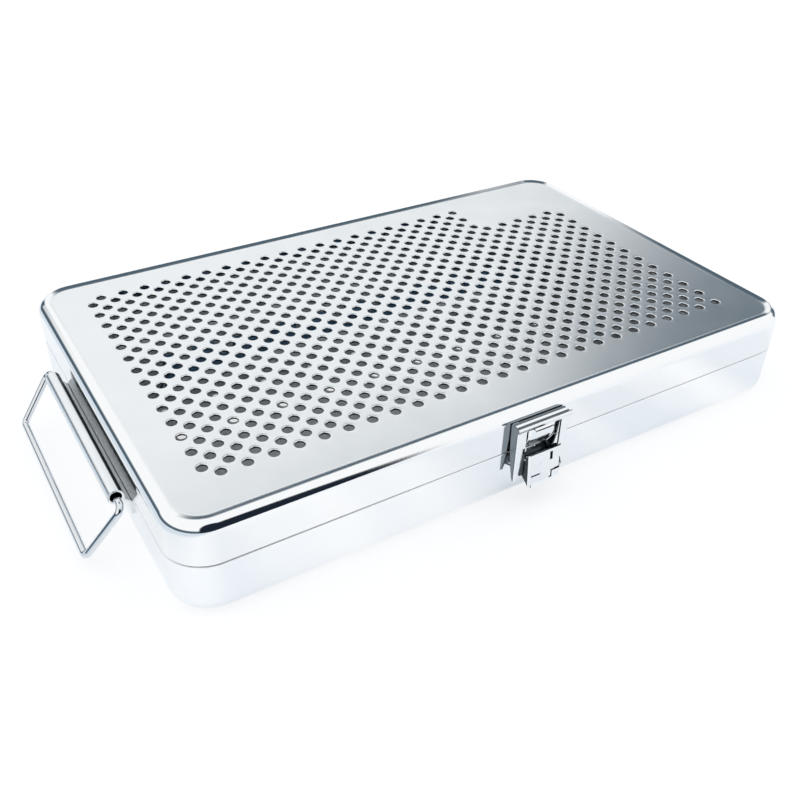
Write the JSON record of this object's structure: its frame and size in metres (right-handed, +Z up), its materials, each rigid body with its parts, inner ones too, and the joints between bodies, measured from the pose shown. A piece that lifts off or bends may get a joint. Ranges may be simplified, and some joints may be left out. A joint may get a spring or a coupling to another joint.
{
  "type": "instrument cassette",
  "caption": "Flat steel instrument case with a perforated hinged lid, a draw latch on the front, a rolled bracket with a wire bail at each end, and slotted racks inside.",
  "frame": {"origin": "centre of the tray's flat underside", "axes": "+X along the case's length, +Y from the latch at the front to the hinges at the back, +Z up"},
  "size_m": [0.331, 0.1973, 0.042],
  "materials": {
    "sheet_polished": "mirror-polished stainless sheet",
    "sheet_satin": "satin stainless sheet with a polished rim",
    "fittings": "bright pressed stainless steel",
    "pins": "drawn stainless steel",
    "wire": "bright drawn stainless wire",
    "silicone": "matt moulded silicone"
  },
  "bodies": {
    "base": {"base_tray": "sheet_polished", "tray_lip": "sheet_polished", "hinge_leaf_base": "fittings", "hinge_pins": "pins", "latch_bracket": "fittings", "latch_rivets": "pins", "latch_pivot": "pins", "handle_bracket_left": "fittings", "handle_bracket_right": "fittings", "rack_channel_front": "fittings", "rack_channel_back": "fittings", "rack_comb_front": "silicone", "rack_comb_back": "silicone", "rack_rivets": "pins"},
    "lid": {"lid_shell": "sheet_satin", "hinge_leaf_lid": "fittings", "latch_keeper": "fittings"},
    "lever": {"latch_lever": "fittings", "latch_link_pin": "pins"},
    "hasp": {"latch_hasp": "fittings"},
    "bail_left_body": {"bail_left": "wire"},
    "bail_right_body": {"bail_right": "wire"}
  },
  "joints": [
    {"name": "lid_hinge", "type": "hinge", "parent": "base", "child": "lid", "pos_m": [0, 0.0941, 0.02415], "axis": [-1, 0, 0], "range_deg": [0, 110]},
    {"name": "latch_lever_pivot", "type": "hinge", "parent": "base", "child": "lever", "pos_m": [0, -0.0961, 0.0218], "axis": [-1, 0, 0], "range_deg": [0, 120]},
    {"name": "hasp_link", "type": "hinge", "parent": "lever", "child": "hasp", "pos_m": [0, -0.0941, 0.016], "axis": [-1, 0, 0], "range_deg": [-160, 0]},
    {"name": "bail_left_swing", "type": "hinge", "parent": "base", "child": "bail_left_body", "pos_m": [-0.1492, -0.0015, 0.0256], "axis": [0, 1, 0], "range_deg": [0, 142]},
    {"name": "bail_right_swing", "type": "hinge", "parent": "base", "child": "bail_right_body", "pos_m": [0.1492, -0.0015, 0.0256], "axis": [0, -1, 0], "range_deg": [0, 142]}
  ],
  "couplings": [
    {"joint": "hasp_link", "follows": "latch_lever_pivot", "ratio": -1.3333}
  ]
}
